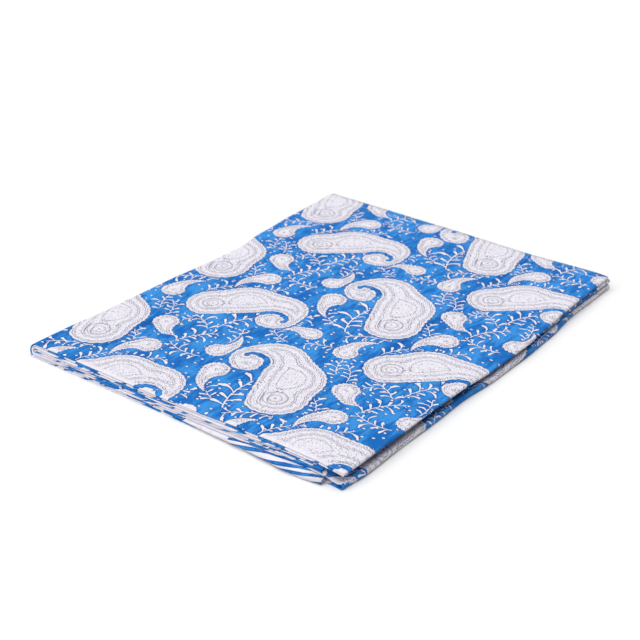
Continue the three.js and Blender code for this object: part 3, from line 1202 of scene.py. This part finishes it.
cottonLook = {
    "thread": (0.74, 0.74, 0.78),
    "faded": (0.62, 0.68, 0.82),
    "lightEdge": (0.8, 0.5),
    "blotches": 0.75,
    "streaks": 0.55,
    "toneShare": 0.35,
    "threadRoughness": -0.12,
    "sheen": 0.03,
    "sheenRoughness": 0.5,
    "specular": 0.16,
    "puckers": 5.0,
    "crumple": 0.7,
    "weave": 0.1,
    "stitches": 0.5,
    "bump": 0.3,
    "bumpDepth": 0.001,
}


def makeCottonMaterial(name, fading, roughness):
    look = cottonLook
    material = bpy.data.materials.new(name)
    material.use_nodes = True
    tree = material.node_tree
    shader = tree.nodes["Principled BSDF"]
    flatMap = tree.nodes.new("ShaderNodeUVMap")
    flatMap.uv_map = "FlatCloth"
    point = vector(tree, "MULTIPLY", flatMap.outputs[0], (1000, 1000, 0))
    printed = placeGroup(tree, "paisleyPrint", Point=point)
    weave = placeGroup(tree, "plainWeave", Point=point)
    stitch = placeGroup(tree, "hemStitches", Point=point)["Stitch"]

    blotch = noise(tree, vector(tree, "MULTIPLY", point, (0.7, 1.3, 0)), 0.045, 4.0, 0.6)[0]
    streak = noise(tree, vector(tree, "MULTIPLY", point, (0.25, 1.0, 0)), 0.3, 3.0, 0.6)[0]
    blotch = times(tree, blotch, look["blotches"])
    lightness = timesPlus(tree, streak, look["streaks"], blotch)
    lightness = stepDown(tree, lightness, *look["lightEdge"])
    ground = mixColour(tree, lightness, blockPrint["lightBlue"], blockPrint["groundBlue"])
    ground = mixColour(tree, printed["Seam"], ground, blockPrint["deepBlue"])
    white = mixColour(tree, printed["Line"], blockPrint["printWhite"], blockPrint["lineGrey"])
    colour = mixColour(tree, printed["White"], ground, white)
    colour = mixColour(tree, fading, colour, look["faded"])
    colour = mixColour(tree, stitch, colour, look["thread"])
    colour = mixColour(tree, look["toneShare"], colour, weave["Tone"], "MULTIPLY")
    feedNode(tree, shader, {
        "Base Color": colour,
        "Roughness": timesPlus(tree, weave["Tone"], look["threadRoughness"], roughness),
        "Sheen Weight": look["sheen"],
        "Sheen Roughness": look["sheenRoughness"],
        "Specular IOR Level": look["specular"],
    })

    puckers = noise(tree, point, 0.09, 3.0, 0.55)[0]
    relief = times(tree, noise(tree, point, 0.4)[0], look["crumple"])
    for height, share in ((puckers, "puckers"), (weave["Height"], "weave"), (stitch, "stitches")):
        relief = timesPlus(tree, height, look[share], relief)
    bump = tree.nodes.new("ShaderNodeBump")
    feedNode(tree, bump, {"Strength": look["bump"], "Distance": look["bumpDepth"], "Height": relief})
    feed(tree, shader.inputs["Normal"], bump.outputs[0])
    return material


print("drawing the block print")
makeMotifPlace()
makeLargePaisley()
makeSmallPaisley()
makeSprig()
makeBlockPrint()
makeWeave()
makeStitches()
for name, fading, roughness in (("printedCotton", 0.0, 0.97), ("cottonReverse", 0.5, 0.98)):
    tablecloth.data.materials.append(makeCottonMaterial(name, fading, roughness))
thickenCloth(tablecloth)
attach(tablecloth, "root")
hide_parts("folded_cloth")

studio = {
    "floorSize": 12,
    "floorTone": 0.82,
    "floorRoughness": 0.9,
    "airStrength": 0.15,
    "lights": [
        # name, from where, strength, softness in degrees
        ("softLightLeft", (-0.85, 0.3, 0.9), 2.0, 65),
        ("softLightAbove", (0.1, 0.05, 1.0), 2.08, 70),
    ],
}


def addFloor():
    bpy.ops.object.select_all(action="DESELECT")
    bpy.ops.mesh.primitive_plane_add(size=studio["floorSize"], location=(0, 0, 0))
    floor = bpy.context.object
    floor.name = "studioFloor"
    material = bpy.data.materials.new("paleFloor")
    material.use_nodes = True
    shader = material.node_tree.nodes["Principled BSDF"]
    shader.inputs["Base Color"].default_value = (*(studio["floorTone"],) * 3, 1)
    shader.inputs["Roughness"].default_value = studio["floorRoughness"]
    floor.data.materials.append(material)


def addLight(name, place, strength, softness):
    bpy.ops.object.light_add(type="SUN", location=place)
    light = bpy.context.object
    light.name = name
    light.data.energy = strength
    light.data.angle = math.radians(softness)
    light.rotation_euler = (-Vector(place)).to_track_quat("-Z", "Y").to_euler()


addFloor()
for light in studio["lights"]:
    addLight(*light)
world = bpy.data.worlds.new("studioAir")
world.use_nodes = True
air = world.node_tree.nodes["Background"]
air.inputs["Color"].default_value = (1, 1, 1, 1)
air.inputs["Strength"].default_value = studio["airStrength"]
bpy.context.scene.world = world
bpy.context.scene.view_settings.view_transform = "Standard"
